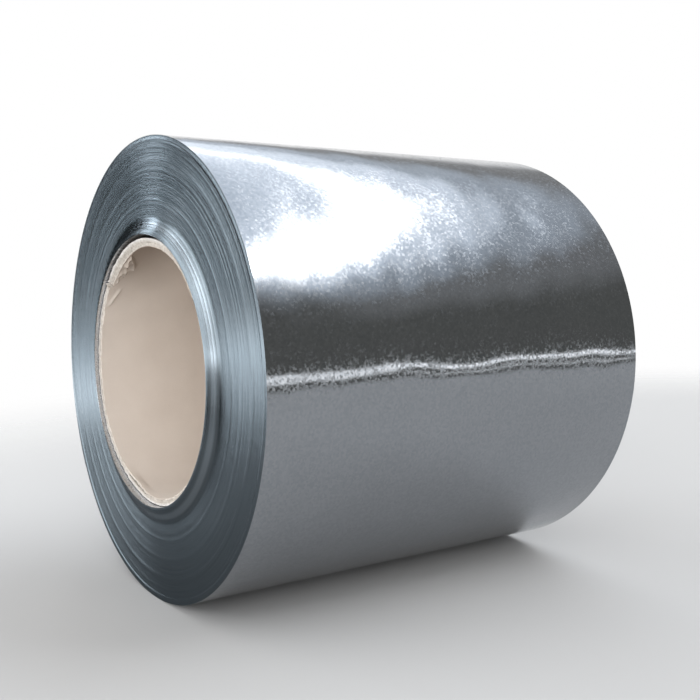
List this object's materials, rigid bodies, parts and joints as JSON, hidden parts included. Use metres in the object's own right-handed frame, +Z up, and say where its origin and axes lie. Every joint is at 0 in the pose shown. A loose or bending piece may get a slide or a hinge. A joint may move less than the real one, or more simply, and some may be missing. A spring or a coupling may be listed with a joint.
{
  "type": "steel coil",
  "caption": "Galvanised steel strip wound into a coil on a loose paper core sleeve, lying on its barrel, ready to be lifted or unwound through its bore.",
  "frame": {"origin": "on the floor, under the middle of the coil", "axes": "the coil's axis lies along Y, its near end, where the first turns have slipped out, faces -Y, and +Z is up"},
  "size_m": [0.9287, 0.928, 0.928],
  "materials": {
    "galvanised_steel": "satin",
    "core_paper": "matte"
  },
  "bodies": {
    "root": {"wound_steel_strip": "galvanised_steel", "paper_core_sleeve": "core_paper"}
  },
  "joints": []
}
